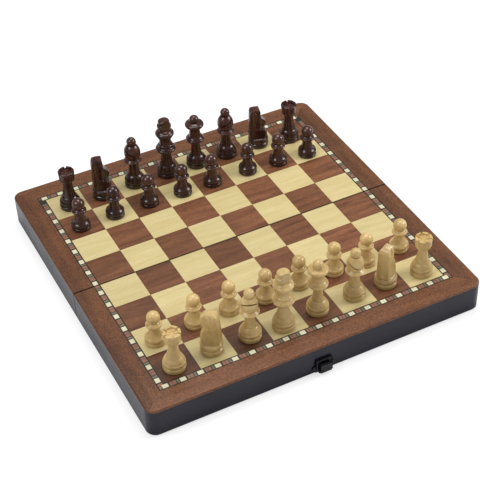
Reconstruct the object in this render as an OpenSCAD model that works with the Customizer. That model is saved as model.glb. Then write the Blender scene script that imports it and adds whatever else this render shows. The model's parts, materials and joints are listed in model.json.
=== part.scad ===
// Folding chess box: two shallow trays hinged at their rims, whose backs make
// the chessboard when they lie open side by side, with a full set of men.
// Origin: on the fold line, at the middle, in the plane of the rims.
// +X runs along the fold to the h file, +Y to the eighth rank, +Z up.

/* [Playing field] */
// Side of one square
square_size = 31.5; // [24:0.5:45]
// Width of the glue line round each square
glue_line = 0.1; // [0.05:0.01:0.3]
// Width of the marquetry band round the field
band_w = 6; // [4:0.1:12]
// Width of the plain line on each side of the band's tiles
band_line_w = 1; // [0.4:0.05:1.5]
// Length of a pale tile in the band
tile_l = 5; // [3:0.1:8]
// Number of pale tiles along each end of the board
end_tile_count = 18; // [10:1:24]
// Distance of the first pale tile from the fold, beside the front half
front_tile_start = 9.8; // [2.9:0.1:12]
// Step of the pale tiles beside the front half
front_tile_step = 15.9; // [12:0.1:20]
// Distance of the first pale tile from the fold, beside the rear half
rear_tile_start = 2.9; // [2.9:0.1:12]
// Step of the pale tiles beside the rear half
rear_tile_step = 15.2; // [12:0.1:20]
// Width of the border outside the band
border_w = 17.5; // [14:0.5:40]

/* [Case] */
// Height of one half of the case
half_h = 26; // [22:0.5:60]
// Thickness of the rails round each tray
wall_t = 8; // [7.5:0.1:13]
// Thickness of the squares, the band and the border
top_t = 2; // [1.6:0.1:4]
// Thickness of the panel under the squares
panel_t = 3; // [2:0.1:6]
// Width of the ledge in the rails that carries the panel
ledge_w = 4; // [2:0.1:6]
// Play round the panel in its rebate
panel_play = 0.1; // [0.05:0.01:0.5]
// Thickness of the felt under the panel
felt_t = 0.8; // [0.5:0.1:2]
// Play round the felt
felt_play = 0.4; // [0.2:0.1:2]
// Radius of the outer upright corners
corner_r = 8.5; // [4:0.5:14]
// Radius of the rounded top edge of the border
arris_r = 1.4; // [0.5:0.1:1.5]
// Gap between the two halves when the board lies flat
fold_gap = 0.7; // [0.1:0.05:1]

/* [Hinges] */
// Distance of each hinge from the middle of the fold
hinge_x = 88; // [50:1:95]
// Length of a hinge
hinge_l = 30; // [18:1:50]
// Reach of a leaf from the pin
leaf_w = 6; // [4.5:0.1:7]
// Thickness of a leaf
leaf_t = 0.8; // [0.6:0.05:1.2]
// Radius of a knuckle
knuckle_r = 1.4; // [1.2:0.05:2]
// Radius of the hinge pin
hinge_pin_r = 0.7; // [0.5:0.05:0.8]
// Running play of a pin in its bore
pin_play = 0.05; // [0.02:0.01:0.08]
// Play between two knuckles
knuckle_play = 0.25; // [0.1:0.05:0.5]
// Depth of the hinge axis below the rims
axis_drop = 0.15; // [0.1:0.01:0.3]

/* [Clasp] */
// Width of the clasp's plate
plate_w = 21; // [18:0.5:30]
// Height of the clasp's plate
plate_h = 12.2; // [11:0.1:16]
// Thickness of the clasp's plate
plate_t = 1; // [0.8:0.05:1.5]
// Width of the lever
lever_w = 9.4; // [8:0.1:11]
// Height of the lever
lever_h = 9.2; // [8:0.1:10]
// How far the lever stands out from the wall
lever_d = 5; // [4.6:0.1:6]
// Radius of the lever's pin
lever_pin_r = 0.6; // [0.4:0.05:0.8]
// Radius of the bail's wire
wire_r = 0.55; // [0.4:0.05:0.7]
// Reach of the bail from its pivot to its far edge
bail_reach = 8.55; // [8:0.05:10]

/* [Screws] */
// Radius of a screw's shank
screw_r = 0.8; // [0.5:0.05:1]
// Radius of a screw's head
screw_head_r = 1.5; // [1.1:0.05:1.8]
// Length of a screw
screw_l = 5.5; // [4:0.5:7]

/* [Chessmen] */
// Radius of the foot of a king, queen, bishop, knight or rook
foot_r = 9.3; // [8:0.1:12]
// Radius of the foot of a pawn
pawn_foot_r = 8.3; // [6.5:0.1:10]
// Height of a king
king_h = 58; // [54:0.5:70]
// Height of a queen
queen_h = 52.5; // [50:0.5:64]
// Height of a bishop
bishop_h = 49.5; // [47:0.5:60]
// Height of a knight
knight_h = 40; // [40:0.5:50]
// Height of a rook
rook_h = 37.5; // [36:0.5:46]
// Height of a pawn
pawn_h = 31; // [29.5:0.5:38]

/* [Hidden] */

fine = 96;
coarse = 48;
files = 8;
field = files * square_size;
band_out = field / 2 + band_w;
half_w = band_out + border_w;
fold_y = -fold_gap / 2;
top_z = half_h;
deck_z = half_h - top_t;
panel_z = deck_z - panel_t;
tile_w = band_w - 2 * band_line_w;
knuckle_l = (hinge_l - 2 * knuckle_play) / 3;
through = 1;

// Places of the hinge screws, and the step from knuckle to knuckle
screw_play = 0.05;
leaf_screw_x = hinge_l / 2 - 5;
leaf_screw_y = (leaf_w + knuckle_r) / 2 + 0.2;
knuckle_step = knuckle_l + knuckle_play;

// Clasp: heights are above the rim, depths are out from the wall
plate_z = 0.3;
clasp_screw_x = 7.9;
clasp_screw_z = 4.3;
ear_r = 2.6;
knuckle_out = 1.8;
lever_pin_y = lever_d - knuckle_out;
lever_pin_z = plate_z + knuckle_out + 0.3;
lever_gap = 0.3;
cheek_t = 0.9;
cheek_r = 1.3;
bail_y = lever_pin_y - 0.7;
bail_z = lever_pin_z + 2;
bail_half = lever_w / 2 + 2.2;
bail_lean = asin((bail_y - plate_t - wire_r - 0.1) / (bail_reach - wire_r));

// Catch, and where the bail's bar lies in it when the box is shut
catch_w = 16;
catch_h = 9;
catch_screw_x = 5.2;
lip_w = 6;
lip_t = 0.9;
hook_turn = 190;
hook_lean = hook_turn - 180 - bail_lean;
bar_out = bail_y - (bail_reach - wire_r) * sin(hook_lean);
bar_z = (bail_reach - wire_r) * cos(hook_lean) - bail_z - 2 * axis_drop;

black_lacquer = [0.12, 0.12, 0.14];
mahogany = [0.45, 0.28, 0.22];
maple = [0.9, 0.82, 0.6];
olive = [0.22, 0.22, 0.15];
boxwood = [0.86, 0.72, 0.48];
dark_stain = [0.22, 0.13, 0.12];
black_metal = [0.15, 0.15, 0.17];
brass = [0.75, 0.6, 0.3];
green_felt = [0.12, 0.3, 0.2];

// A half turn puts a piece of the front half in its place in the rear half
module in_rear() rotate([0, 0, 180]) children();

// Both hinges
module at_hinges() for (s = [-1, 1]) translate([s * hinge_x, 0, -axis_drop]) children();

// Outline of one half with its two rounded outer corners
module half_outline() {
    translate([-half_w, -half_w + corner_r]) square([2 * half_w, half_w - corner_r + fold_y]);
    translate([-half_w + corner_r, -half_w]) square([2 * (half_w - corner_r), corner_r]);
    for (s = [-1, 1])
        translate([s * (half_w - corner_r), -half_w + corner_r]) circle(corner_r, $fn = fine);
}

// One strip along the front of a half, mitred at both ends
module front_strip(out, w) {
    polygon([[-out + glue_line, -out], [out - glue_line, -out],
             [out - w - glue_line, -out + w], [-out + w + glue_line, -out + w]]);
}

// One strip along the right side of a half, mitred at the front only
module side_strip(out, w) {
    polygon([[out, -out], [out, fold_y], [out - w, fold_y], [out - w, -out + w]]);
}

// Cutter for the rounded top edge along the three outer sides of a half
module arris_cutter() {
    straight = half_w - corner_r;
    for (s = [-1, 1]) {
        translate([s * half_w, through, top_z]) rotate([90, 0, 0]) mirror([s < 0 ? 1 : 0, 0, 0])
            linear_extrude(straight + through) arris_waste();
        translate([s * straight, -straight, top_z]) rotate([0, 0, s > 0 ? -90 : 180])
            rotate_extrude(angle = 90, $fn = fine) translate([corner_r, 0]) arris_waste();
    }
    translate([-straight, -half_w, top_z]) rotate([90, 0, 90])
        mirror([1, 0, 0]) linear_extrude(2 * straight) arris_waste();
}

// What the rounding takes off a square edge at the origin
module arris_waste() {
    difference() {
        translate([-arris_r, -arris_r]) square(arris_r + through);
        translate([-arris_r, -arris_r]) circle(arris_r, $fn = coarse);
    }
}

// Countersunk hole, or the screw that fits it, pointing up from the origin
module screw_shape(play = 0) {
    cylinder(r = screw_r + play, h = screw_l + play, $fn = coarse);
    cylinder(r1 = screw_head_r + play, r2 = screw_r + play, h = screw_head_r - screw_r, $fn = coarse);
}

// Places of the hinge screws in the front half
module at_leaf_screws() {
    for (s = [-1, 1], t = [-1, 1])
        translate([s * hinge_x + t * leaf_screw_x, -leaf_screw_y, 0]) children();
}

// Room in the rails for the leaves, the knuckles and the hinge screws
module hinge_room() {
    room = knuckle_r + 0.3;
    for (s = [-1, 1]) {
        translate([s * hinge_x - hinge_l / 2 - knuckle_play, -leaf_w - panel_play, -through])
            cube([hinge_l + 2 * knuckle_play, leaf_w + through, leaf_t + through]);
        translate([s * hinge_x - hinge_l / 2 - knuckle_play, 0, -axis_drop]) rotate([0, 90, 0])
            cylinder(r = room, h = hinge_l + 2 * knuckle_play, $fn = coarse);
    }
    at_leaf_screws() translate([0, 0, leaf_t]) cylinder(r = screw_r + screw_play, h = screw_l, $fn = coarse);
}

// Four mitred rails with a rebate for the panel
module tray_rails() {
    difference() {
        linear_extrude(deck_z) intersection() {
            half_outline();
            union() {
                front_strip(half_w, wall_t);
                for (m = [0, 1]) mirror([m, 0]) side_rail_outline();
                seam_rail_outline();
            }
        }
        translate([-half_w + wall_t - ledge_w, -half_w + wall_t - ledge_w, panel_z])
            cube([2 * (half_w - wall_t + ledge_w), half_w + fold_y - 2 * (wall_t - ledge_w), panel_t + through]);
        hinge_room();
    }
}

// The right-hand rail, mitred at both ends
module side_rail_outline() {
    polygon([[half_w, -half_w], [half_w, fold_y], [half_w - wall_t, fold_y - wall_t],
             [half_w - wall_t, -half_w + wall_t]]);
}

// The rail at the fold, mitred at both ends
module seam_rail_outline() {
    polygon([[-half_w + glue_line, fold_y], [half_w - glue_line, fold_y],
             [half_w - wall_t - glue_line, fold_y - wall_t],
             [-half_w + wall_t + glue_line, fold_y - wall_t]]);
}

// Panel lying on the ledge
module tray_panel() {
    edge = half_w - wall_t + ledge_w - panel_play;
    translate([-edge, -edge, panel_z])
        cube([2 * edge, edge + fold_y - wall_t + ledge_w - panel_play, panel_t]);
}

// Felt glued under the panel, inside the rails
module tray_lining() {
    edge = half_w - wall_t - felt_play;
    translate([-edge, -edge, panel_z - felt_t])
        cube([2 * edge, edge + fold_y - wall_t - felt_play, felt_t]);
}

// Three mitred border strips with a rounded outer edge
module tray_border() {
    difference() {
        translate([0, 0, deck_z]) linear_extrude(top_t) intersection() {
            half_outline();
            union() {
                front_strip(half_w, border_w);
                for (m = [0, 1]) mirror([m, 0]) side_strip(half_w, border_w);
            }
        }
        arris_cutter();
    }
}

// Middles of the pale tiles along the end strip, which runs from corner to corner
function end_tiles() = [for (i = [0 : end_tile_count - 1]) -field / 2 + i * field / (end_tile_count - 1)];

// Outlines of the pale tiles, a little smaller when play is given
module tile_outlines(start, step, play = 0) {
    mid = field / 2 + band_w / 2;
    size = [tile_l - 2 * play, tile_w - 2 * play];
    for (x = end_tiles()) translate([x, -mid]) square(size, center = true);
    for (y = [start : step : (field - tile_l) / 2], s = [-1, 1])
        translate([s * mid, -y]) rotate(90) square(size, center = true);
}

// Three mitred strips of the band with pockets for its tiles
module tray_band(start, step) {
    translate([0, 0, deck_z]) linear_extrude(top_t) difference() {
        union() {
            front_strip(band_out, band_w);
            for (m = [0, 1]) mirror([m, 0]) side_strip(band_out, band_w);
        }
        tile_outlines(start, step);
    }
}

// Pale tiles of the band
module tray_tiles(start, step) {
    translate([0, 0, deck_z]) linear_extrude(top_t) tile_outlines(start, step, glue_line / 2);
}

// The squares of one colour in ranks one to four; a1 is dark
module tray_squares(pale) {
    translate([0, 0, deck_z]) linear_extrude(top_t) intersection() {
        translate([-half_w, -half_w]) square([2 * half_w, half_w + fold_y]);
        for (f = [0 : files - 1], r = [0 : files / 2 - 1])
            if (((f + r) % 2 == 1) == pale)
                translate([(f - files / 2) * square_size + glue_line / 2,
                           (r - files / 2) * square_size + glue_line / 2])
                    square(square_size - glue_line);
    }
}

module front_frame() color(black_lacquer) difference() {
    tray_rails();
    at_clasp_screws() cylinder(r = screw_r + screw_play, h = screw_l + screw_play, $fn = coarse);
}
module front_panel() color(maple) tray_panel();
module front_border() color(mahogany) tray_border();
module front_band() color(olive) tray_band(front_tile_start, front_tile_step);
module front_band_tiles() color(maple) tray_tiles(front_tile_start, front_tile_step);
module front_maple_squares() color(maple) tray_squares(true);
module front_mahogany_squares() color(mahogany) tray_squares(false);
module front_lining() color(green_felt) tray_lining();

module rear_frame() color(black_lacquer) difference() {
    in_rear() tray_rails();
    at_catch_screws() cylinder(r = screw_r + screw_play, h = screw_l + screw_play, $fn = coarse);
}
module rear_panel() color(maple) in_rear() tray_panel();
module rear_border() color(mahogany) in_rear() tray_border();
module rear_band() color(olive) in_rear() tray_band(rear_tile_start, rear_tile_step);
module rear_band_tiles() color(maple) in_rear() tray_tiles(rear_tile_start, rear_tile_step);
module rear_maple_squares() color(maple) in_rear() tray_squares(true);
module rear_mahogany_squares() color(mahogany) in_rear() tray_squares(false);
module rear_lining() color(green_felt) in_rear() tray_lining();

// One leaf reaching to -Y, with the knuckles whose numbers are given
module leaf(numbers) {
    difference() {
        union() {
            translate([-hinge_l / 2, -leaf_w, axis_drop])
                cube([hinge_l, leaf_w - knuckle_r - knuckle_play, leaf_t]);
            for (i = numbers) translate([-hinge_l / 2 + i * knuckle_step, 0, 0]) {
                rotate([0, 90, 0]) cylinder(r = knuckle_r, h = knuckle_l, $fn = coarse);
                translate([0, -leaf_w, axis_drop]) cube([knuckle_l, leaf_w, leaf_t]);
            }
        }
        translate([-hinge_l, 0, 0]) rotate([0, 90, 0])
            cylinder(r = hinge_pin_r + pin_play, h = 2 * hinge_l, $fn = coarse);
        for (t = [-1, 1]) translate([t * leaf_screw_x, -leaf_screw_y, axis_drop])
            screw_shape(screw_play);
    }
}

module hinge_front_leaves() color(brass) at_hinges() leaf([0, 2]);
module hinge_rear_leaves() color(brass) at_hinges() in_rear() leaf([1]);
module hinge_pins() color(brass) at_hinges() translate([-hinge_l / 2, 0, 0]) rotate([0, 90, 0])
    cylinder(r = hinge_pin_r, h = hinge_l, $fn = coarse);
module hinge_screws_front() color(brass) at_leaf_screws() screw_shape();
module hinge_screws_rear() color(brass) in_rear() at_leaf_screws() screw_shape();

// Puts a shape drawn on the wall's face, with +Z outward, on the front wall
module on_front_wall() translate([0, -half_w, 0]) rotate([90, 0, 0]) children();
module on_rear_wall() in_rear() on_front_wall() children();

// Extrudes a side view, x outward from the front wall and y up, to a width
module side_view(w) translate([0, -half_w, 0]) rotate([90, 0, -90])
    linear_extrude(w, center = true) children();

module at_clasp_screws() {
    for (s = [-1, 1]) translate([s * clasp_screw_x, -half_w, clasp_screw_z]) rotate([-90, 0, 0]) children();
}

// Outline of a plate with a rounded ear at each lower corner
module plate_outline() {
    translate([-lever_w / 2 - 2, plate_z]) square([lever_w + 4, plate_h]);
    translate([-plate_w / 2 + ear_r, plate_z]) square([plate_w - 2 * ear_r, clasp_screw_z - plate_z + 1]);
    for (s = [-1, 1]) translate([s * clasp_screw_x, clasp_screw_z]) circle(ear_r, $fn = coarse);
}

module clasp_plate() color(black_metal) difference() {
    union() {
        on_front_wall() linear_extrude(plate_t) intersection() {
            plate_outline();
            translate([-plate_w, plate_z]) square([2 * plate_w, plate_h]);
        }
        for (s = [-1, 1]) translate([s * (lever_w / 2 + lever_gap + cheek_t / 2), 0, 0])
            side_view(cheek_t) cheek_outline();
    }
    translate([-plate_w, -half_w - lever_pin_y, lever_pin_z]) rotate([0, 90, 0])
        cylinder(r = lever_pin_r + pin_play, h = 2 * plate_w, $fn = coarse);
    at_clasp_screws() translate([0, 0, -plate_t]) screw_shape(screw_play);
}

// Side view of the ear that carries the lever's pin: x outward, y up
module cheek_outline() {
    translate([0, lever_pin_z - cheek_r]) square([lever_pin_y, cheek_r + 1]);
    translate([lever_pin_y, lever_pin_z]) circle(cheek_r, $fn = coarse);
}

// Side view of the lever: x outward from the wall, y up, with a finger lip on top
module lever_outline() {
    back = lever_pin_y - knuckle_out;
    low = lever_pin_z - knuckle_out;
    high = plate_z + lever_h;
    cut = 0.9;
    difference() {
        polygon([[back, low + cut], [back, high - 1.4], [back + 0.8, high - 0.5], [lever_d - 1.4, high - 0.5],
                 [lever_d - 0.9, high], [lever_d - 0.3, high], [lever_d, high - 0.4], [lever_d, high - 1.2],
                 [lever_d - 0.5, high - 2], [lever_d - 0.4, lever_pin_z + 2], [lever_d, lever_pin_z + 1],
                 [lever_d, low + cut], [lever_d - cut, low], [back + cut, low]]);
        translate([lever_pin_y, lever_pin_z]) circle(lever_pin_r + pin_play, $fn = coarse);
    }
}

module clasp_lever() color(black_metal) difference() {
    side_view(lever_w) lever_outline();
    translate([-plate_w, -half_w - bail_y, bail_z]) rotate([0, 90, 0])
        cylinder(r = wire_r + pin_play, h = 2 * plate_w, $fn = coarse);
}

module clasp_pin() color(black_metal)
    translate([-lever_w / 2 - lever_gap - cheek_t, -half_w - lever_pin_y, lever_pin_z]) rotate([0, 90, 0])
        cylinder(r = lever_pin_r, h = lever_w + 2 * (lever_gap + cheek_t), $fn = coarse);

// Wire bail: two legs up from its pivot, joined by a bar that leans on the plate
module clasp_bail() color(black_metal) translate([0, -half_w - bail_y, bail_z]) rotate([-bail_lean, 0, 0]) {
    for (s = [-1, 1]) {
        translate([s * bail_half, 0, 0]) cylinder(r = wire_r, h = bail_reach - wire_r, $fn = coarse);
        translate([s * bail_half, 0, 0]) sphere(wire_r, $fn = coarse);
        translate([s * bail_half, 0, bail_reach - wire_r]) sphere(wire_r, $fn = coarse);
    }
    translate([-bail_half, 0, 0]) rotate([0, 90, 0]) cylinder(r = wire_r, h = 2 * bail_half, $fn = coarse);
    translate([-bail_half, 0, bail_reach - wire_r]) rotate([0, 90, 0])
        cylinder(r = wire_r, h = 2 * bail_half, $fn = coarse);
}

module clasp_screws() color(black_metal) at_clasp_screws() translate([0, 0, -plate_t]) screw_shape();

module at_catch_screws() {
    in_rear() for (s = [-1, 1])
        translate([s * catch_screw_x, -half_w, plate_z + catch_h / 2]) rotate([-90, 0, 0]) children();
}

// Catch on the rear wall: a plate with a lip that the bail hooks over
module catch_plate() color(black_metal) difference() {
    on_rear_wall() {
        linear_extrude(plate_t) {
            translate([-catch_w / 2 + 2, plate_z]) square([catch_w - 4, catch_h]);
            translate([-catch_w / 2, plate_z + 2]) square([catch_w, catch_h - 4]);
            for (s = [-1, 1], t = [-1, 1])
                translate([s * (catch_w / 2 - 2), plate_z + catch_h / 2 + t * (catch_h / 2 - 2)])
                    circle(2, $fn = coarse);
        }
        translate([-lip_w / 2, 0, 0]) rotate([0, 90, 0]) mirror([1, 0]) linear_extrude(lip_w) lip_outline();
    }
    at_catch_screws() translate([0, 0, -plate_t]) screw_shape(screw_play);
}

// Side view of the lip: x outward, y up, its mouth away from the rim
module lip_outline() {
    seat = bar_z - wire_r - 0.3;
    inside = bar_out + wire_r + 0.4;
    tip = bar_z + wire_r + 0.5;
    polygon([[plate_t, seat - lip_t], [inside + lip_t / 2, seat - lip_t], [inside + lip_t, seat - lip_t / 2],
             [inside + lip_t, tip], [inside, tip], [inside, seat], [plate_t, seat]]);
}

module catch_screws() color(black_metal) at_catch_screws() translate([0, 0, -plate_t]) screw_shape();

// Turning: each of these is half of a profile, radius across and height up

// A disc with a half-round edge
module bead(r, z, h) {
    translate([0, z]) square([r - h / 2, h]);
    translate([r - h / 2, z + h / 2]) circle(h / 2, $fn = coarse);
}

// A disc with both edges rounded to edge_r
module round_disc(r, z, h, edge_r) {
    translate([0, z]) square([r - edge_r, h]);
    translate([0, z + edge_r]) square([r, h - 2 * edge_r]);
    for (y = [z + edge_r, z + h - edge_r]) translate([r - edge_r, y]) circle(edge_r, $fn = coarse);
}

// A straight taper
module taper(r0, z0, r1, z1) polygon([[0, z0], [r0, z0], [r1, z1], [0, z1]]);

// Middle of the arc of radius arc_r through both ends, on one side of the line
function arc_mid(r0, z0, r1, z1, arc_r, side) =
    let (d = norm([r1 - r0, z1 - z0]),
         rise = sqrt(max(0, arc_r * arc_r - d * d / 4)))
    [(r0 + r1) / 2 + side * rise * (z1 - z0) / d, (z0 + z1) / 2 - side * rise * (r1 - r0) / d];

// A hollow sweep between two radii
module cove(r0, z0, r1, z1, arc_r) {
    difference() {
        taper(r0, z0, r1, z1);
        translate(arc_mid(r0, z0, r1, z1, arc_r, 1)) circle(arc_r, $fn = fine);
    }
}

// A round swelling between two radii
module swell(r0, z0, r1, z1, arc_r) {
    taper(r0, z0, r1, z1);
    intersection() {
        translate(arc_mid(r0, z0, r1, z1, arc_r, -1)) circle(arc_r, $fn = fine);
        translate([0, z0]) square([4 * arc_r, z1 - z0]);
    }
}

// Turns a profile, cut off at the axis
module turned() {
    rotate_extrude($fn = fine) intersection() {
        union() children();
        square([40, 90]);
    }
}

// Foot of a man: plinth, groove, ring and shoulder up to the foot of the stem
function foot_top(r) = 1.33 * r;
module foot(r, waist) {
    k = r / 9.3;
    round_disc(r, 0, 4 * k, 0.8 * k);
    taper(r - 0.9 * k, 3.8 * k, r - 0.9 * k, 5.4 * k);
    swell(r - 0.6 * k, 4.9 * k, r - 0.7 * k, 8 * k, 2.8 * k);
    swell(r - 1.1 * k, 7.8 * k, waist, foot_top(r), 7 * k);
}

// Stem, faintly hollow, from the foot up to the collar
module stem(r, waist, neck_r, z1) {
    z0 = foot_top(r);
    cove(waist - 0.3, z0 - 0.1, neck_r, z1, 3.5 * (z1 - z0));
}

module king(neck_r, top = king_h) {
    waist = 6.5;
    turned() {
        foot(foot_r, waist);
        stem(foot_r, waist, neck_r, 27.2);
        bead(9.1, 27.2, 3.4);
        cove(8.4, 30.4, 6.5, 31.8, 2);
        bead(6.8, 31.5, 2.8);
        cove(6, 34, 5.4, top - 20, 8);
        taper(5.4, top - 20.1, 7.8, top - 15.6);
        bead(8.4, top - 16.2, 4.2);
        swell(7.1, top - 12.4, 4, top - 10.2, 5);
    }
    finial_t = 7.4;
    intersection() {
        translate([-20, -finial_t / 2, 0]) cube([40, finial_t, 2 * top]);
        turned() {
            taper(4.9, top - 13.2, 4.9, top - 7.4);
            bead(6.4, top - 8.6, 4.6);
            taper(4.8, top - 4.8, 5, top - 2.4);
            bead(5.2, top - 3.4, 3.4);
        }
    }
}

module queen(neck_r, top = queen_h) {
    waist = 5.4;
    turned() {
        foot(foot_r, waist);
        stem(foot_r, waist, neck_r, 27.6);
        bead(8.4, 27.4, 3.4);
        swell(7.5, 30.5, 5.5, 32.6, 4);
        cove(5.6, 32.4, 5, 36, 9);
        cove(5, 35.9, 7.8, top - 10.6, 6.5);
        bead(8.5, top - 11.4, 4);
        cove(7.7, top - 7.8, 3.2, top - 5.8, 8);
        translate([0, top - 4.4]) circle(4.4, $fn = coarse);
    }
}

module bishop(neck_r, top = bishop_h) {
    waist = 5.7;
    slot_w = 1.1;
    difference() {
        turned() {
            foot(foot_r, waist);
            stem(foot_r, waist, neck_r, 25.4);
            taper(neck_r, 25, 7.6, 26.8);
            bead(8, 26.6, 1.1);
            taper(7.6, 27.5, 5.3, 29.4);
            swell(5.4, 29.2, 4, top - 7.4, 11);
            translate([0, top - 4.3]) circle(4.3, $fn = coarse);
        }
        translate([-3, 0, top - 16.9]) rotate([0, -30, 0])
            translate([0, -20, 0]) cube([20, 40, slot_w]);
    }
}

module rook(neck_r, top = rook_h) {
    waist = 6.2;
    slots = 6;
    slot_w = 1.3;
    difference() {
        turned() {
            foot(foot_r, waist);
            stem(foot_r, waist, neck_r, top - 10);
            swell(neck_r + 0.6, top - 10.4, 6.8, top - 7.6, 3);
            taper(6.8, top - 7.7, 7.1, top - 0.9);
            bead(7.2, top - 1.8, 1.8);
        }
        translate([0, 0, top - 1.6]) cylinder(r1 = 4.4, r2 = 5, h = 2, $fn = fine);
        for (i = [0 : slots / 2 - 1]) rotate([0, 0, 15 + i * 360 / slots])
            translate([-20, -slot_w / 2, top - 2]) cube([40, slot_w, 3]);
    }
}

module pawn(neck_r) {
    top = pawn_h;
    r = pawn_foot_r;
    turned() {
        round_disc(r, 0, 3.2, 0.9);
        taper(r - 0.8, 3, r - 0.8, 4.2);
        swell(r - 0.4, 3.7, r - 0.5, 6.6, 2.6);
        cove(r - 0.7, 6.4, neck_r + 0.7, 12.4, 9);
        cove(neck_r + 0.8, 12.2, neck_r, 17.8, 20);
        bead(6.5, 17.4, 2.8);
        cove(5.4, 20, 3.8, 21.4, 3);
        translate([0, top - 5.5]) circle(5.5, $fn = coarse);
    }
}

// Side view of the horse: x to the front, y up
module horse_outline(top) {
    chest_r = 7.2;
    difference() {
        union() {
            polygon([[-8.4, 9], [-8.6, 24], [-8, top - 8], [-6, top - 2], [-3, top - 0.2], [1.8, top],
                     [2.8, top - 4.6], [7.6, top - 10.2], [8.4, top - 12.4], [8.2, top - 14.6], [6, top - 16],
                     [2.2, top - 14.8], [1, top - 17], [2, top - 21], [6, 16], [6.4, 9]]);
            translate([1.4, 15]) circle(chest_r, $fn = fine);
        }
        translate([9.6, top - 2.6]) circle(5.6, $fn = fine);
        translate([-10, 4]) square([20, 5]);
    }
}

// Front view of the horse: thin at the head, wide at the chest
module horse_front(top) {
    polygon([[-9, 8], [-8.8, 13], [-5.6, 26], [-4.6, top - 6], [-3.4, top + 1],
             [3.4, top + 1], [4.6, top - 6], [5.6, 26], [8.8, 13], [9, 8]]);
}

module knight(top = knight_h) {
    muzzle_t = 6.4;
    difference() {
        intersection() {
            rotate([90, 0, 0]) linear_extrude(30, center = true) horse_outline(top);
            rotate([90, 0, 90]) linear_extrude(30, center = true) horse_front(top);
            translate([0, 0, 8]) cylinder(r1 = 8.6, r2 = 8, h = top - 7, $fn = fine);
        }
        for (s = [-1, 1]) {
            translate([3.2, s > 0 ? muzzle_t / 2 : -20 - muzzle_t / 2, top - 17]) cube([12, 20, 20]);
            translate([-3, s * 6.2, top - 9]) rotate([90, 0, 0]) mane_groove();
            translate([3.2, s * 4.2, top - 8]) sphere(1.1, $fn = coarse);
        }
        translate([-20, 0, top - 0.9]) rotate([45, 0, 0]) cube([40, 2.4, 2.4]);
        translate([5.4, -20, top - 14]) rotate([0, -8, 0]) cube([10, 40, 0.7]);
    }
    turned() foot_low(foot_r);
}

// The groove that parts the mane from the neck, in a flank's plane
module mane_groove() {
    linear_extrude(3, center = true) {
        difference() {
            intersection() {
                circle(6.6, $fn = fine);
                translate([-8, -8]) square([8, 16]);
            }
            circle(5.7, $fn = fine);
        }
        translate([0, -12.3]) difference() {
            intersection() {
                circle(6.6, $fn = fine);
                square([8, 8]);
            }
            circle(5.7, $fn = fine);
        }
    }
}

// Foot of a knight: plinth, groove and ring, flat on top
module foot_low(r) {
    round_disc(r, 0, 4.4, 1.5);
    taper(r - 0.9, 4, r - 0.9, 6);
    swell(r - 0.4, 5, r - 1, 9.4, 3.4);
}

// Stands a man on a square, moved off its middle and turned as set down by hand
module stand(file, rank, dx = 0, dy = 0, turn = 0) {
    translate([(file - 4.5) * square_size + dx, (rank - 4.5) * square_size + dy, top_z])
        rotate([0, 0, turn]) children();
}

// The men as they stand: the dark ones were turned a little stouter and taller
pale_neck = 3.8;
dark_neck = 4.5;
dark_extra = 1.2;

// How far each pawn stands off the middle of its square, from the a file on
white_pawn_shifts = [[-2.7, -3.1], [1.2, -0.4], [0.7, 0], [1, -1.7], [1, -0.4], [2.4, -0.2], [-0.4, -3.1], [1.8, -1.1]];
dark_pawn_shifts = [[-1.7, -2.7], [-0.8, -1.5], [0.7, -1.2], [1.1, -2.2], [-1.1, -2.2], [2.9, -2.4], [1.9, -3.8], [-0.6, -6]];

module white_king() color(boxwood) stand(4, 1, -1.2, -5) king(pale_neck);
module white_queen() color(boxwood) stand(5, 1, -0.3, -2) queen(pale_neck);
module white_bishop_c() color(boxwood) stand(3, 1, 2, -2.4, 250) bishop(pale_neck);
module white_bishop_f() color(boxwood) stand(6, 1, 2.6, -1.3, 140) bishop(pale_neck);
module white_knight_b() color(boxwood) stand(2, 1, 0.6, -1, 135) knight();
module white_knight_g() color(boxwood) stand(7, 1, 0.8, -1.2, 30) knight();
module white_rook_a() color(boxwood) stand(1, 1, -1.1, -3.9) rook(pale_neck);
module white_rook_h() color(boxwood) stand(8, 1, 2.1, -3.7) rook(pale_neck);
module white_pawn(file) color(boxwood)
    stand(file, 2, white_pawn_shifts[file - 1][0], white_pawn_shifts[file - 1][1]) pawn(pale_neck - 0.1);
module dark_king() color(dark_stain) stand(4, 8, 1, -1.5) king(dark_neck, king_h + dark_extra);
module dark_queen() color(dark_stain) stand(5, 8, -1.4, -1.4) queen(dark_neck - 0.3, queen_h + dark_extra);
module dark_bishop_c() color(dark_stain) stand(3, 8, 0.7, -1, 150) bishop(dark_neck, bishop_h + dark_extra);
module dark_bishop_f() color(dark_stain) stand(6, 8, -2.3, -1.5, -30) bishop(dark_neck, bishop_h + dark_extra);
module dark_knight_b() color(dark_stain) stand(2, 8, 0.6, -2.7, -15) knight(knight_h + dark_extra);
module dark_knight_g() color(dark_stain) stand(7, 8, -1, -1.5, -15) knight();
module dark_rook_a() color(dark_stain) stand(1, 8, 1.1, -2.2) rook(dark_neck - 0.2, rook_h + dark_extra);
module dark_rook_h() color(dark_stain) stand(8, 8, -3.6, -8) rook(dark_neck - 0.2, rook_h + dark_extra);
module dark_pawn(file) color(dark_stain)
    stand(file, 7, dark_pawn_shifts[file - 1][0], dark_pawn_shifts[file - 1][1]) pawn(dark_neck - 0.7);

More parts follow.
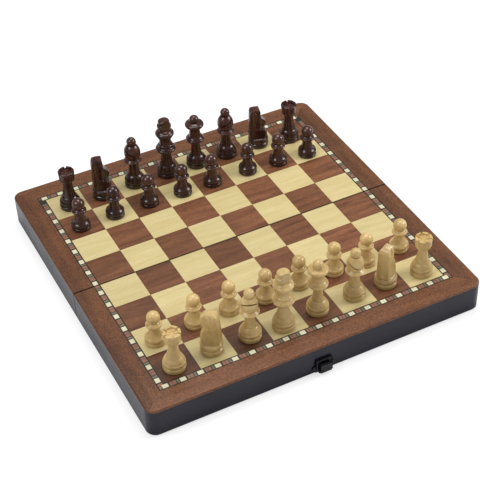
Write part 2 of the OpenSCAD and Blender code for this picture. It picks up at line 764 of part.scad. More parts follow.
front_frame();
front_panel();
front_border();
front_band();
front_band_tiles();
front_maple_squares();
front_mahogany_squares();
front_lining();
rear_frame();
rear_panel();
rear_border();
rear_band();
rear_band_tiles();
rear_maple_squares();
rear_mahogany_squares();
rear_lining();
hinge_front_leaves();
hinge_rear_leaves();
hinge_pins();
hinge_screws_front();
hinge_screws_rear();
clasp_plate();
clasp_lever();
clasp_pin();
clasp_bail();
clasp_screws();
catch_plate();
catch_screws();
white_king();
white_queen();
white_bishop_c();
white_bishop_f();
white_knight_b();
white_knight_g();
white_rook_a();
white_rook_h();
white_pawn(1);  // white_pawn_a
white_pawn(2);  // white_pawn_b
white_pawn(3);  // white_pawn_c
white_pawn(4);  // white_pawn_d
white_pawn(5);  // white_pawn_e
white_pawn(6);  // white_pawn_f
white_pawn(7);  // white_pawn_g
white_pawn(8);  // white_pawn_h
dark_king();
dark_queen();
dark_bishop_c();
dark_bishop_f();
dark_knight_b();
dark_knight_g();
dark_rook_a();
dark_rook_h();
dark_pawn(1);  // dark_pawn_a
dark_pawn(2);  // dark_pawn_b
dark_pawn(3);  // dark_pawn_c
dark_pawn(4);  // dark_pawn_d
dark_pawn(5);  // dark_pawn_e
dark_pawn(6);  // dark_pawn_f
dark_pawn(7);  // dark_pawn_g
dark_pawn(8);  // dark_pawn_h
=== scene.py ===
"""Looks of the folding chess box: camera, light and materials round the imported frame."""

import json
import math

import bpy
from mathutils import Matrix, Vector


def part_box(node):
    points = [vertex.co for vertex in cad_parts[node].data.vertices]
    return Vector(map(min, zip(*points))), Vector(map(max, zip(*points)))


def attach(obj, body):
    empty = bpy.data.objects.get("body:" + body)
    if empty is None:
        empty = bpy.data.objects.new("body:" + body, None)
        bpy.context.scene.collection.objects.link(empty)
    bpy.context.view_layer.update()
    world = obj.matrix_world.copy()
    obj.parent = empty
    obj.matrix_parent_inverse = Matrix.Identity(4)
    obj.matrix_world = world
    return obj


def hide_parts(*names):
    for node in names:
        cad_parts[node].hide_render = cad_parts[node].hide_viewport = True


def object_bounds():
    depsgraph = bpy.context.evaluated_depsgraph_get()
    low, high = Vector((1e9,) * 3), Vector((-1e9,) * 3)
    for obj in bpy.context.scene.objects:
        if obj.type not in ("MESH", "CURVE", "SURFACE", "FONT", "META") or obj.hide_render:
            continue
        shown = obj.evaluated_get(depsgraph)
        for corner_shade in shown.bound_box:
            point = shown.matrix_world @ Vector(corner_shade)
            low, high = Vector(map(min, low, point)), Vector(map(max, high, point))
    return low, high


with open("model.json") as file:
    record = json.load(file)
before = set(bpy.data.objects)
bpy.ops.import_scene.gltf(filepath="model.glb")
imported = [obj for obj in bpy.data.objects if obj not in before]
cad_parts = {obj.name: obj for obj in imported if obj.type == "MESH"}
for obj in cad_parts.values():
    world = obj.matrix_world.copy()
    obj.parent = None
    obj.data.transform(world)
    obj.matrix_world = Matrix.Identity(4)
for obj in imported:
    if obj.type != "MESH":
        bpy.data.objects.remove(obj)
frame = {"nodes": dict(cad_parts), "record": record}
cad_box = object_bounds()

MM = 0.001

# Sizes of the board, taken from the pieces
FIELD_HALF = -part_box("front_mahogany_squares")[0].x
SQUARE = FIELD_HALF / 4
BAND_W = -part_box("front_band")[0].x - FIELD_HALF
DECK_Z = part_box("front_band")[1].z

# Layout of the band: length of a pale tile, width of its lines, first tile and step on each strip
TILE_L = 5 * MM
BAND_LINE = 1 * MM
END_STEP = 2 * FIELD_HALF / 17
FRONT_START = 9.8 * MM
FRONT_STEP = 15.9 * MM
REAR_START = 2.9 * MM
REAR_STEP = 15.2 * MM

# Height over which the painted shade at a man's foot fades
FOOT_SHADE_H = 22 * MM

# Camera: a pinhole fitted to the corners of the squares
CAMERA_AT = Vector((-0.3630, -0.7617, 0.7434))
CAMERA_HEADING = 26.23
CAMERA_TILT = -41.0
CAMERA_ROLL = -1.79
SENSOR = 36.0
FOCAL_PX = 1297.4
IMAGE_PX = 500

# Studio: how bright the world lights the object, the floor, and each lamp's name, place, width and power
AMBIENT = 0.3
FLOOR_HALF = 6.0
LAMPS = [("left_box", (-0.95, -0.1, 0.95), 0.6, 6.5),
         ("right_box", (1.0, -0.35, 0.65), 0.5, 7),
         ("top_box", (0.15, 0.35, 1.5), 0.8, 12)]
LAMP_AIM = Vector((0, 0, 0.02))


def make_camera():
    cam = bpy.data.cameras.new("camera")
    cam.sensor_width = SENSOR
    cam.lens = FOCAL_PX * SENSOR / IMAGE_PX
    cam.clip_start = 0.02
    cam.clip_end = 20
    ob = bpy.data.objects.new("camera", cam)
    bpy.context.scene.collection.objects.link(ob)
    turn = Matrix.Rotation(math.radians(-CAMERA_HEADING), 4, "Z")
    tilt = Matrix.Rotation(math.radians(90 + CAMERA_TILT), 4, "X")
    roll = Matrix.Rotation(math.radians(CAMERA_ROLL), 4, "Z")
    ob.matrix_world = Matrix.Translation(CAMERA_AT) @ turn @ tilt @ roll
    bpy.context.scene.camera = ob


class Graph:
    """A node tree with short calls for the nodes that the materials share."""

    def __init__(self, tree):
        self.tree = tree
        self.tree.nodes.clear()

    def add(self, kind, **settings):
        node = self.tree.nodes.new("ShaderNode" + kind)
        for key, value in settings.items():
            setattr(node, key, value)
        return node

    def feed(self, node, key, value):
        """Sets a socket to a number or colour, or links another node's socket to it."""
        socket = node.inputs[key]
        if isinstance(value, bpy.types.NodeSocket):
            self.tree.links.new(value, socket)
        else:
            socket.default_value = value

    def math(self, op, a, b=0.0, clamp=False):
        """A number worked out from one or two others."""
        node = self.add("Math", operation=op, use_clamp=clamp)
        self.feed(node, 0, a)
        self.feed(node, 1, b)
        return node.outputs[0]

    def vector(self, op, a, b=(0, 0, 0)):
        node = self.add("VectorMath", operation=op)
        self.feed(node, 0, a)
        self.feed(node, 1, b)
        return node.outputs[0]

    def place(self):
        """A point of the piece in its own space, in metres."""
        return self.add("TexCoord").outputs["Object"]

    def in_mm(self, vec):
        return self.vector("MULTIPLY", vec, (1 / MM, 1 / MM, 1 / MM))

    def split(self, vec):
        node = self.add("SeparateXYZ")
        self.feed(node, 0, vec)
        return node.outputs

    def join(self, x, y, z):
        node = self.add("CombineXYZ")
        for key, value in zip("XYZ", (x, y, z)):
            self.feed(node, key, value)
        return node.outputs[0]

    def stretch(self, vec, scale):
        node = self.add("Mapping")
        self.feed(node, "Vector", vec)
        self.feed(node, "Scale", scale)
        return node.outputs[0]

    def noise(self, vec, scale=1.0, detail=3.0, rough=0.5, warp=0.0):
        node = self.add("TexNoise")
        self.feed(node, "Vector", vec)
        self.feed(node, "Scale", scale)
        self.feed(node, "Detail", detail)
        self.feed(node, "Roughness", rough)
        self.feed(node, "Distortion", warp)
        return node.outputs["Fac"]

    def fit(self, value, low, high, to_low=0.0, to_high=1.0):
        """A number moved from one range to another and held inside it."""
        node = self.add("MapRange")
        self.feed(node, "Value", value)
        self.feed(node, "From Min", low)
        self.feed(node, "From Max", high)
        self.feed(node, "To Min", to_low)
        self.feed(node, "To Max", to_high)
        return node.outputs[0]

    def mix(self, fac, a, b):
        """Colour a where fac is 0, colour b where it is 1."""
        node = self.add("Mix", data_type="RGBA")
        self.feed(node, "Factor", fac)
        for key, value in (("A", a), ("B", b)):
            socket = [s for s in node.inputs if s.name == key and s.type == "RGBA"][0]
            if isinstance(value, bpy.types.NodeSocket):
                self.tree.links.new(value, socket)
            else:
                socket.default_value = (*value, 1)
        return [s for s in node.outputs if s.type == "RGBA"][0]

    def pick(self, fac, a, b):
        """Number a where fac is 0, number b where it is 1."""
        node = self.add("Mix", data_type="FLOAT")
        self.feed(node, "Factor", fac)
        self.feed(node, "A", a)
        self.feed(node, "B", b)
        return node.outputs[0]

    def bars(self, value, stops):
        """Bars of colour along a value: each stop gives where a bar begins and its colour."""
        node = self.add("ValToRGB")
        ramp = node.color_ramp
        ramp.interpolation = "CONSTANT"
        for stop, (at, color) in enumerate(stops):
            if stop > 1:
                ramp.elements.new(at)
            ramp.elements[stop].position = at
            ramp.elements[stop].color = (*color, 1)
        self.feed(node, "Fac", value)
        return node.outputs["Color"]

    def shade(self, color, value):
        """The colour made darker or lighter by a factor."""
        node = self.add("HueSaturation")
        self.feed(node, "Value", value)
        self.feed(node, "Color", color)
        return node.outputs["Color"]

    def bump(self, height, depth):
        node = self.add("Bump")
        self.feed(node, "Height", height)
        self.feed(node, "Distance", depth)
        return node.outputs[0]


def material(name):
    """A new material with one shader; gives the graph and the shader."""
    mat = bpy.data.materials.new(name)
    mat.use_nodes = True
    graph = Graph(mat.node_tree)
    shader = graph.add("BsdfPrincipled")
    out = graph.add("OutputMaterial")
    graph.tree.links.new(shader.outputs[0], out.inputs["Surface"])
    return mat, graph, shader


def finish_with(graph, shader, color, rough, normal, **fixed):
    """Links colour, roughness and normal, and sets what is the same all over on the shader itself."""
    graph.feed(shader, "Base Color", color)
    graph.feed(shader, "Roughness", rough)
    graph.feed(shader, "Normal", normal)
    for key, value in fixed.items():
        graph.feed(shader, key.replace("_", " "), value)


def cell_shift(graph, place):
    """A random shift and a random number for each square of the board."""
    cell = graph.vector("FLOOR", graph.vector("DIVIDE", place, (SQUARE, SQUARE, 10)))
    dots = graph.add("TexWhiteNoise", noise_dimensions="3D")
    graph.feed(dots, "Vector", cell)
    shift = graph.vector("MULTIPLY", dots.outputs["Color"], (0.7, 0.7, 0.7))
    return shift, dots.outputs["Value"]


def straight_grain(graph, place, dark, light, figure=1.0, fibre=1.0):
    """Colour, height and place in millimetres of wood whose grain runs along X."""
    mm = graph.in_mm(place)
    broad = graph.noise(graph.stretch(mm, (0.018, 0.16, 0.16)), 1.0, 4, 0.55, 0.6)
    fine = graph.noise(graph.stretch(mm, (0.09, 2.2, 2.2)), 1.0, 3, 0.6)
    mixed = graph.math("ADD", graph.math("MULTIPLY", broad, figure), graph.math("MULTIPLY", fine, fibre))
    level = graph.fit(mixed, 0.3 * (figure + fibre), 0.7 * (figure + fibre))
    return graph.mix(level, dark, light), fine, mm


def pores(graph, mm, length, width, amount):
    """Short dark pores along the grain: 1 in a pore, 0 elsewhere."""
    dots = graph.noise(graph.stretch(mm, (1 / length, 1 / width, 1 / width)), 1.0, 1, 0.4)
    return graph.fit(dots, 0.5 + amount, 0.62 + amount)


def fold_painted_shade(g, color, y):
    """Paints shade into the colour along the fold, where the gap between the two halves lies."""
    near = g.fit(g.math("ABSOLUTE", y), 0.5 * MM, 1.1 * MM, 0.25, 1)
    return g.shade(color, near)


def board_wood(name, dark, light, pore_color, pore_share, rough, spread, figure=1.0, tilt=0.0,
               corner_shade=1.0):
    """Wood of the squares: grain along X, a different piece of it in each square.

    Tone differs by spread from square to square. Painted light makes the squares lighter from left to right
    by tilt, and painted shade darkens them towards the front left."""
    mat, g, shader = material(name)
    place = g.place()
    shift, chance = cell_shift(g, place)
    own = g.vector("ADD", place, shift)
    color, fine, mm = straight_grain(g, own, dark, light, figure)
    x, y, z = g.split(place)
    # Painted light and shade: lighter from left to right, darker towards the front left of the board
    painted_light_slant = g.fit(x, -FIELD_HALF, FIELD_HALF, 1 - tilt, 1 + tilt)
    behind = g.fit(y, -0.9 * FIELD_HALF, -0.6 * FIELD_HALF)
    beside = g.fit(x, -0.3 * FIELD_HALF, 0.5 * FIELD_HALF)
    painted_light_slant = g.math("MULTIPLY", painted_light_slant, g.fit(g.math("MAXIMUM", behind, beside), 0, 1, corner_shade, 1))
    color = g.shade(color, g.math("MULTIPLY", painted_light_slant, g.fit(chance, 0, 1, 1 - spread, 1 + spread)))
    holes = pores(g, mm, 3.0, 0.35, 0.02)
    color = g.mix(g.math("MULTIPLY", holes, pore_share), color, pore_color)
    color = fold_painted_shade(g, color, y)
    normal = g.bump(g.math("SUBTRACT", fine, holes), 0.02 * MM)
    finish_with(g, shader, color, g.fit(fine, 0.2, 0.8, rough - 0.05, rough + 0.07), normal, IOR=1.4)
    return mat


def border_wood(name, dark, light, fleck_color, pore_color, rough):
    """Wood of the border: the grain follows each strip, turns at the mitres and is flecked all over; painted
    light and shade set each strip's brightness.
    """
    mat, g, shader = material(name)
    place = g.place()
    x, y, z = g.split(place)
    wide = g.math("ABSOLUTE", x)
    deep = g.math("ABSOLUTE", y)
    side = g.math("GREATER_THAN", wide, deep)
    along = g.pick(side, x, y)
    across = g.pick(side, y, x)
    own = g.join(along, g.math("ADD", across, g.math("MULTIPLY", side, 0.37)), z)
    color, fine, mm = straight_grain(g, own, dark, light, 1.2, 0.7)
    fleck = g.noise(g.stretch(mm, (0.8, 1.1, 1.1)), 1.0, 4, 0.75)
    color = g.mix(g.fit(fleck, 0.5, 0.66, 0, 0.75), color, fleck_color)
    color = g.mix(g.fit(fleck, 0.5, 0.36, 0, 0.55), color, pore_color)
    # Painted light and shade: the side strips darker than the front and rear strips, the left one lighter
    # towards its outer edge, the right one darker towards it
    out = g.fit(wide, FIELD_HALF + BAND_W, cad_box[1].x, 0, 1)
    left = g.math("LESS_THAN", x, 0)
    slope = g.pick(left, g.fit(out, 0.3, 0.7, 0.68, 0.86), g.fit(out, 0.35, 0.8, 0.8, 0.6))
    color = g.shade(color, g.pick(side, 0.93, slope))
    holes = pores(g, mm, 2.2, 0.4, 0.0)
    color = g.mix(g.math("MULTIPLY", holes, 0.6), color, pore_color)
    off = g.math("ABSOLUTE", g.math("SUBTRACT", wide, deep))
    color = g.mix(g.fit(off, 0.2 * MM, 0.5 * MM, 0.55, 0), color, light)
    color = fold_painted_shade(g, color, y)
    normal = g.bump(g.math("SUBTRACT", fine, holes), 0.025 * MM)
    finish_with(g, shader, color, g.fit(fine, 0.2, 0.8, rough - 0.06, rough + 0.08), normal, IOR=1.4)
    return mat


def band_pattern(name):
    """The band's dark tiles: bars and patterned blocks between its two dark lines."""
    mat, g, shader = material(name)
    place = g.place()
    x, y, z = g.split(place)
    side = g.math("GREATER_THAN", g.math("ABSOLUTE", x), g.math("ABSOLUTE", y))
    front = g.math("LESS_THAN", y, 0)
    end_along = g.pick(front, g.math("MULTIPLY", x, -1), x)
    along = g.pick(side, end_along, g.math("ABSOLUTE", y))
    start = g.pick(side, -FIELD_HALF, g.pick(front, REAR_START, FRONT_START))
    step = g.pick(side, END_STEP, g.pick(front, REAR_STEP, FRONT_STEP))
    turn = g.math("FRACT", g.math("DIVIDE", g.math("SUBTRACT", along, start), step))
    past = g.math("SUBTRACT", g.math("MULTIPLY", turn, step), TILE_L / 2)
    share = g.math("DIVIDE", past, g.math("SUBTRACT", step, TILE_L), clamp=True)
    red = (0.27, 0.13, 0.085)
    dark = (0.035, 0.03, 0.022)
    brown = (0.09, 0.06, 0.045)
    grey = (0.17, 0.16, 0.11)
    color = g.bars(share, [(0.0, dark), (0.13, red), (0.34, brown), (0.39, red), (0.66, dark),
                           (0.73, grey), (0.91, dark)])
    mm = g.in_mm(place)
    grit = g.noise(g.stretch(mm, (0.9, 0.9, 0.9)), 1.0, 3, 0.6)
    color = g.shade(color, g.fit(grit, 0.3, 0.7, 0.65, 1.3))
    across = g.math("ABSOLUTE", g.pick(side, y, x))
    off = g.math("ABSOLUTE", g.math("SUBTRACT", across, FIELD_HALF + BAND_W / 2))
    line = g.math("GREATER_THAN", off, BAND_W / 2 - BAND_LINE)
    olive = g.mix(g.fit(grit, 0.3, 0.7), (0.008, 0.01, 0.005), (0.03, 0.034, 0.016))
    color = g.mix(line, color, olive)
    normal = g.bump(grit, 0.01 * MM)
    finish_with(g, shader, color, 0.35, normal, IOR=1.4)
    return mat


def turned_wood(name, dark, light, streak, rough, coat, coat_rough, painted_foot_shade):
    """Wood of the men: grain upright, painted shade darkening it towards the foot, another piece for each
    man.
    """
    mat, g, shader = material(name)
    place = g.place()
    shift, chance = cell_shift(g, place)
    mm = g.in_mm(g.vector("ADD", place, shift))
    broad = g.noise(g.stretch(mm, (0.09, 0.09, 0.02)), 1.0, 3, 0.5, 0.8)
    cloud = g.noise(g.stretch(mm, (0.22, 0.22, 0.12)), 1.0, 3, 0.6, 1.2)
    fine = g.noise(g.stretch(mm, (1.4, 1.4, 0.12)), 1.0, 3, 0.6)
    level = g.math("ADD", g.math("MULTIPLY", broad, 0.55), g.math("MULTIPLY", cloud, 0.33))
    level = g.math("ADD", level, g.math("MULTIPLY", fine, 0.12))
    color = g.mix(g.fit(level, 0.36, 0.64), dark, light)
    color = g.mix(g.fit(fine, 0.58, 0.8, 0, 0.2), color, streak)
    color = g.shade(color, g.fit(chance, 0, 1, 0.9, 1.08))
    # Painted shade: darker towards the foot, fading out over the lower part of the man
    color = g.shade(color, g.fit(g.split(place)["Z"], DECK_Z, DECK_Z + FOOT_SHADE_H, painted_foot_shade, 1))
    normal = g.bump(fine, 0.01 * MM)
    finish_with(g, shader, color, g.fit(cloud, 0.3, 0.7, rough - 0.06, rough + 0.08), normal,
                Coat_Weight=coat, Coat_Roughness=coat_rough, IOR=1.42)
    return mat


def lacquer(name):
    """Black lacquer over the rails: a little wavy, worn to brown along the rims."""
    mat, g, shader = material(name)
    place = g.place()
    mm = g.in_mm(place)
    wave = g.noise(g.stretch(mm, (0.03, 0.03, 0.06)), 1.0, 2, 0.5)
    grain = g.noise(g.stretch(mm, (0.15, 0.15, 1.6)), 1.0, 3, 0.6)
    color = g.mix(g.fit(wave, 0.3, 0.7), (0.006, 0.006, 0.014), (0.013, 0.012, 0.026))
    near_rim = g.fit(g.split(place)["Z"], 0.0, 0.9 * MM, 1.0, 0.0)
    patch = g.noise(g.stretch(mm, (0.25, 0.25, 0.25)), 1.0, 4, 0.7)
    worn = g.math("MULTIPLY", g.fit(patch, 0.56, 0.68), near_rim)
    color = g.mix(g.math("MULTIPLY", worn, 0.8), color, (0.10, 0.06, 0.04))
    normal = g.bump(grain, 0.006 * MM)
    finish_with(g, shader, color, g.fit(wave, 0.3, 0.7, 0.2, 0.3), normal, IOR=1.36)
    return mat


def plain_metal(name, color, dull, metallic, rough):
    """Metal with fine scratches and duller patches."""
    mat, g, shader = material(name)
    mm = g.in_mm(g.place())
    patch = g.noise(g.stretch(mm, (0.5, 0.5, 0.5)), 1.0, 4, 0.6)
    scratch = g.noise(g.stretch(mm, (0.6, 6, 6)), 1.0, 2, 0.5)
    tone = g.mix(g.fit(patch, 0.35, 0.65), dull, color)
    normal = g.bump(scratch, 0.006 * MM)
    finish_with(g, shader, tone, g.fit(patch, 0.3, 0.7, rough + 0.08, rough - 0.06), normal,
                Metallic=metallic)
    return mat


def felt(name, dark, light):
    """Short felt: a mottled nap with a soft sheen."""
    mat, g, shader = material(name)
    mm = g.in_mm(g.place())
    nap = g.noise(g.stretch(mm, (2.5, 2.5, 2.5)), 1.0, 4, 0.7)
    patch = g.noise(g.stretch(mm, (0.06, 0.06, 0.06)), 1.0, 3, 0.5)
    color = g.mix(g.fit(g.math("ADD", nap, patch), 0.7, 1.3), dark, light)
    finish_with(g, shader, color, 0.95, g.bump(nap, 0.25 * MM), Sheen_Weight=0.5, Sheen_Roughness=0.5)
    return mat


# Each knight's carving, with the muzzle held low or high, and where it looks, in degrees from +X
KNIGHTS = {"white_knight_b": ("high", 145), "white_knight_g": ("high", 30),
           "dark_knight_b": ("low", -15), "dark_knight_g": ("low", -15)}
# Size of the carved pattern, in millimetres: its height, and the height of its turned foot
KNIGHT_TOP = 40.0
KNIGHT_FOOT = 9.6
# Turned foot: radius and height of each point of the profile
KNIGHT_FOOT_LINE = [
    (8.4, 0.0), (9.0, 0.2), (9.3, 0.8), (9.32, 2.4), (9.3, 3.7), (9.05, 4.2), (8.5, 4.45), (8.35, 4.8),
    (8.5, 5.2), (8.95, 5.8), (9.22, 6.6), (9.28, 7.4), (9.16, 8.3), (8.85, 9.1), (8.5, 9.5), (8.2, 9.6)]
# Side views: height and reach to the front, where the chest ends in a notch under the jaw
KNIGHT_FRONT = {
    "low": [
        (9.6, 8.1), (10.8, 8.55), (12.2, 8.8), (14.0, 8.4), (15.8, 7.6), (17.0, 6.5), (17.9, 4.8),
        (18.4, 2.8), (18.7, 1.4), (20.0, 1.2), (20.4, 3.2), (20.8, 5.2), (21.6, 6.4), (23.6, 7.1),
        (25.8, 7.4), (26.6, 6.9), (28.0, 5.4), (30.0, 3.5), (32.0, 2.5), (35.0, 2.3), (38.6, 2.0),
        (39.5, 1.5), (40.0, 0.7)],
    "high": [
        (9.6, 8.1), (10.8, 8.55), (13.0, 8.85), (16.0, 8.7), (19.0, 7.9), (21.5, 6.6), (23.5, 5.0),
        (24.8, 4.0), (25.6, 4.0), (26.4, 5.2), (27.6, 6.6), (29.5, 7.8), (32.0, 8.2), (34.5, 7.6),
        (36.5, 6.4), (38.5, 4.2), (39.5, 2.5), (40.0, 1.0)]}
# Height over which the chest goes from turned to sawn
KNIGHT_CHEST = {"low": (14, 17.5), "high": (19, 24)}
# Side views: height and reach to the back
KNIGHT_BACK = {
    "low": [(9.6, 9.5), (34.5, 9.5), (36.5, 8.4), (38.0, 7.6), (39.2, 6.2), (40.0, 4.4)],
    "high": [(9.6, 9.5), (14.0, 9.0), (20.0, 8.3), (28.0, 7.2), (35.0, 6.2), (37.5, 5.0), (39.2, 2.9),
             (40.0, 1.1)]}
# Front view: height, and half the width between the sawn flanks
KNIGHT_FLANK = {
    "low": [(9.6, 5.8), (19.0, 5.5), (36.0, 4.9), (39.0, 4.4), (40.0, 3.6)],
    "high": [(9.6, 5.8), (19.0, 5.5), (34.0, 5.2), (37.0, 4.4), (39.0, 2.9), (40.0, 1.1)]}
# Radius of the turned blank at each height
KNIGHT_BLANK = [(9.6, 8.1), (10.8, 8.6), (13.0, 8.85), (18.0, 8.5), (40.0, 8.1)]
# Muzzle from above: half its width at the axis, its taper, and how far above the chest it starts
MUZZLE_HALF = 5.1
MUZZLE_TAPER = 0.3
MUZZLE_START = 1.7
# Ear, eye and nostril: depth, place forward and up, half width, half height and lean of each hollow
KNIGHT_DENTS = {
    "low": [(0.9, -1.6, 36.4, 1.5, 2.7, -0.35), (0.5, 0.9, 31.2, 1.1, 1.1, 0), (0.5, 5.5, 23.6, 0.9, 0.9, 0)],
    "high": [(0.9, -1.6, 35.6, 1.5, 3.0, 0.5), (0.5, 2.2, 34.2, 1.0, 1.0, 0), (0.5, 6.4, 31.8, 0.8, 0.8, 0)]}
# Mouth: depth, height over the axis, slope, and how far forward it starts
KNIGHT_MOUTH = {"low": (0.6, 21.8, -0.12, 2.6), "high": (0.5, 28.6, 0, 3.4)}
# How soft the mouth's edge is: off its line by the first number it is gone, by the second it is full
MOUTH_EDGE = {"low": (0.45, 0.1), "high": (0.5, 0.1)}
# How far forward the mouth takes to reach its depth
MOUTH_RUN = 0.8
# Hollow cheek of the low head: depth, and the slopes at its back, its lower and its upper end
CHEEK_DEPTH = 0.55
CHEEK_BACK = (-3.6, -2.9)
CHEEK_FOOT = (19.6, 20.6)
CHEEK_TOP = (36.4, 34.6)
# Where an oval hollow ends and where it is full, in shares of its half sizes
DENT_EDGE = (1.1, 0.5)
# Points round a knight, the height between its rings, and the finer one about the throat
KNIGHT_AROUND = 160
RING_STEP = 0.3
THROAT_STEP = 0.12
THROAT = (17, 21)
# How sharply the carved faces meet, and the size at which they are compared
EDGE_POWER = 20
EDGE_SIZE = 8
# Least share of a direction that a reach is divided by
LEAST_SHARE = 0.01


def along_line(line, at):
    """Value on a line of points at a height."""
    for (a, low), (b, high) in zip(line, line[1:]):
        if at <= b:
            return low + (high - low) * max(0.0, at - a) / (b - a)
    return line[-1][1]


def step_up(value, low, high):
    """Smooth step from 0 at low to 1 at high."""
    share = min(1.0, max(0.0, (value - low) / (high - low)))
    return share * share * (3 - 2 * share)


def dent(x, z, depth, at_x, at_z, wide, high, lean):
    """Depth of an oval hollow at a point of a flank."""
    off = math.hypot((x - at_x - lean * (z - at_z)) / wide, (z - at_z) / high)
    return depth * step_up(off, *DENT_EDGE)


def carved_hollow(style, x, z):
    """Depth of the carving in a flank: ear, eye, nostril, mouth and, on the low head, a hollow cheek."""
    deep = sum(dent(x, z, *shape) for shape in KNIGHT_DENTS[style])
    depth, at_z, slope, from_x = KNIGHT_MOUTH[style]
    on_line = step_up(abs(z - at_z - slope * x), *MOUTH_EDGE[style])
    deep += depth * on_line * step_up(x, from_x, from_x + MOUTH_RUN)
    if style == "low":
        deep += CHEEK_DEPTH * step_up(x, *CHEEK_BACK) * step_up(z, *CHEEK_FOOT) * step_up(z, *CHEEK_TOP)
    return deep


def knight_reach(style, angle, z):
    """How far the carved knight reaches from its axis at a height, at an angle from its nose."""
    forward = math.cos(angle)
    aside = abs(math.sin(angle))
    flank = along_line(KNIGHT_FLANK[style], z)
    hollow = carved_hollow(style, flank * forward / max(aside, LEAST_SHARE), z)
    ways = [along_line(KNIGHT_BLANK, z), (flank - hollow) / max(aside, LEAST_SHARE)]
    if forward > LEAST_SHARE:
        flat = step_up(z, *KNIGHT_CHEST[style])
        ways.append(along_line(KNIGHT_FRONT[style], z) / forward ** flat)
    if forward < -LEAST_SHARE:
        ways.append(along_line(KNIGHT_BACK[style], z) / -forward)
    narrowing = aside + MUZZLE_TAPER * forward
    if z > KNIGHT_CHEST[style][1] + MUZZLE_START and narrowing > LEAST_SHARE:
        ways.append((MUZZLE_HALF - hollow) / narrowing)
    return sum((way / EDGE_SIZE) ** -EDGE_POWER for way in ways) ** (-1 / EDGE_POWER) * EDGE_SIZE


def knight_rings(style, height):
    """Height and reaches of each ring of points, for a knight of a height in millimetres."""
    angles = [2 * math.pi * i / KNIGHT_AROUND for i in range(KNIGHT_AROUND)]
    rings = [(z, [r] * KNIGHT_AROUND) for r, z in KNIGHT_FOOT_LINE]
    stretch = (height - KNIGHT_FOOT) / (KNIGHT_TOP - KNIGHT_FOOT)
    z = KNIGHT_FOOT + 0.02
    while z < KNIGHT_TOP:
        reaches = [knight_reach(style, a, z) for a in angles]
        rings.append((KNIGHT_FOOT + (z - KNIGHT_FOOT) * stretch, reaches))
        z += THROAT_STEP if THROAT[0] < z < THROAT[1] else RING_STEP
    rings.append((height, [knight_reach(style, a, KNIGHT_TOP) for a in angles]))
    return angles, rings


def make_knight(node, style, turn, mat):
    """A knight carved from a turned blank, standing in for the plainer one of the frame."""
    low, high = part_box(node)
    mid = (low + high) / 2
    angles, rings = knight_rings(style, (high.z - low.z) / MM)
    heading = math.radians(turn)
    verts = []
    for z, reaches in rings:
        for a, r in zip(angles, reaches):
            x = mid.x + r * MM * math.cos(a + heading)
            y = mid.y + r * MM * math.sin(a + heading)
            verts.append((x, y, low.z + z * MM))
    around = KNIGHT_AROUND
    faces = []
    for k in range(len(rings) - 1):
        for i in range(around):
            j = (i + 1) % around
            faces.append((k * around + i, k * around + j, (k + 1) * around + j, (k + 1) * around + i))
    faces.append(tuple(reversed(range(around))))
    faces.append(tuple(range((len(rings) - 1) * around, len(rings) * around)))
    mesh = bpy.data.meshes.new(node + "_carved")
    mesh.from_pydata(verts, [], faces)
    mesh.materials.append(mat)
    for face in mesh.polygons:
        face.use_smooth = len(face.vertices) == 4
    knight = bpy.data.objects.new(node + "_carved", mesh)
    bpy.context.scene.collection.objects.link(knight)
    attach(knight, node)
    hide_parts(node)


def make_materials():
    return {
        "black_lacquer": lacquer("black_lacquer"),
        "plywood": board_wood("plywood", dark=(0.42, 0.27, 0.14), light=(0.62, 0.44, 0.25),
                              pore_color=(0.3, 0.18, 0.09), pore_share=0.3, rough=0.6, spread=0.0),
        "mahogany_border": border_wood("mahogany_border", dark=(0.10, 0.036, 0.016),
                                       light=(0.28, 0.115, 0.05), fleck_color=(0.38, 0.14, 0.055),
                                       pore_color=(0.045, 0.022, 0.012), rough=0.33),
        "band_core": band_pattern("band_core"),
        "maple_tile": board_wood("maple_tile", dark=(0.61, 0.57, 0.38), light=(0.77, 0.73, 0.52),
                                 pore_color=(0.5, 0.42, 0.28), pore_share=0.2, rough=0.4, spread=0.08),
        "maple": board_wood("maple", dark=(0.55, 0.44, 0.19), light=(0.70, 0.59, 0.31),
                            pore_color=(0.5, 0.36, 0.15), pore_share=0.25, rough=0.36, spread=0.04,
                            figure=1.6, tilt=0.03, corner_shade=0.82),
        "mahogany": board_wood("mahogany", dark=(0.095, 0.033, 0.014), light=(0.305, 0.125, 0.056),
                               pore_color=(0.045, 0.016, 0.009), pore_share=0.5, rough=0.33, spread=0.18,
                               figure=2.4, tilt=0.12, corner_shade=0.55),
        "felt": felt("felt", dark=(0.01, 0.035, 0.02), light=(0.03, 0.085, 0.05)),
        "hinge_brass": plain_metal("hinge_brass", color=(0.78, 0.57, 0.26), dull=(0.5, 0.35, 0.16),
                                   metallic=1.0, rough=0.3),
        "black_metal": plain_metal("black_metal", color=(0.03, 0.03, 0.034), dull=(0.012, 0.012, 0.014),
                                   metallic=0.6, rough=0.34),
        "boxwood": turned_wood("boxwood", dark=(0.50, 0.325, 0.11), light=(0.74, 0.54, 0.235),
                               streak=(0.42, 0.26, 0.09), rough=0.36, coat=0.5, coat_rough=0.13,
                               painted_foot_shade=0.88),
        "dark_stain": turned_wood("dark_stain", dark=(0.016, 0.005, 0.004), light=(0.09, 0.026, 0.014),
                                  streak=(0.01, 0.004, 0.003), rough=0.26, coat=0.45, coat_rough=0.1,
                                  painted_foot_shade=0.45),
    }


def dress_nodes(mats):
    for sub in frame["record"]["subparts"]:
        node = frame["nodes"][sub["node"]]
        node.data.materials.clear()
        node.data.materials.append(mats[sub["material_slot"]])


def camera_ray(g):
    """1 for rays from the camera, 0 for the rays that carry light."""
    return g.add("LightPath").outputs["Is Camera Ray"]


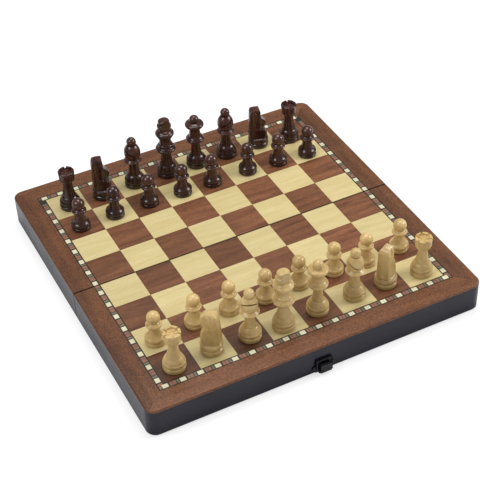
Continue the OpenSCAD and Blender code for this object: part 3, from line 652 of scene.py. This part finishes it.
def make_floor():
    """A pale floor that keeps the shadow and looks white where it is lit."""
    mat = bpy.data.materials.new("floor")
    mat.use_nodes = True
    g = Graph(mat.node_tree)
    diffuse = g.add("BsdfDiffuse")
    g.feed(diffuse, "Color", (0.8, 0.8, 0.8, 1))
    soft = g.add("BsdfDiffuse")
    g.feed(soft, "Color", (0.42, 0.42, 0.42, 1))
    glow = g.add("Emission")
    g.feed(glow, "Color", (1, 1, 1, 1))
    g.feed(glow, "Strength", 0.66)
    both = g.add("AddShader")
    g.feed(both, 0, soft.outputs[0])
    g.feed(both, 1, glow.outputs[0])
    choose = g.add("MixShader")
    g.feed(choose, 0, camera_ray(g))
    g.feed(choose, 1, diffuse.outputs[0])
    g.feed(choose, 2, both.outputs[0])
    out = g.add("OutputMaterial")
    g.tree.links.new(choose.outputs[0], out.inputs["Surface"])
    z = cad_box[0].z
    mesh = bpy.data.meshes.new("floor")
    corners = [(sx * FLOOR_HALF, sy * FLOOR_HALF, z) for sx, sy in ((-1, -1), (1, -1), (1, 1), (-1, 1))]
    mesh.from_pydata(corners, [], [(0, 1, 2, 3)])
    mesh.materials.append(mat)
    floor = bpy.data.objects.new("floor", mesh)
    bpy.context.scene.collection.objects.link(floor)


def make_world():
    """A world that looks white to the camera and lights the object evenly."""
    world = bpy.data.worlds.new("studio")
    world.use_nodes = True
    bpy.context.scene.world = world
    g = Graph(world.node_tree)
    back = g.add("Background")
    g.feed(back, "Color", (1, 1, 1, 1))
    g.feed(back, "Strength", g.fit(camera_ray(g), 0, 1, AMBIENT, 1.0))
    out = g.add("OutputWorld")
    g.tree.links.new(back.outputs[0], out.inputs["Surface"])


def make_lamp(name, at, size, power):
    """A square soft box that looks at the middle of the board."""
    data = bpy.data.lights.new(name, "AREA")
    data.shape = "SQUARE"
    data.size = size
    data.energy = power
    ob = bpy.data.objects.new(name, data)
    ob.location = at
    ob.rotation_mode = "QUATERNION"
    ob.rotation_quaternion = (LAMP_AIM - Vector(at)).to_track_quat("-Z", "Y")
    bpy.context.scene.collection.objects.link(ob)


bpy.context.scene.view_settings.view_transform = "Standard"
make_camera()
make_world()
for name, at, size, power in LAMPS:
    make_lamp(name, at, size, power)
make_floor()
mats = make_materials()
dress_nodes(mats)
slots = {sub["node"]: sub["material_slot"] for sub in frame["record"]["subparts"]}
for node, (style, turn) in KNIGHTS.items():
    make_knight(node, style, turn, mats[slots[node]])
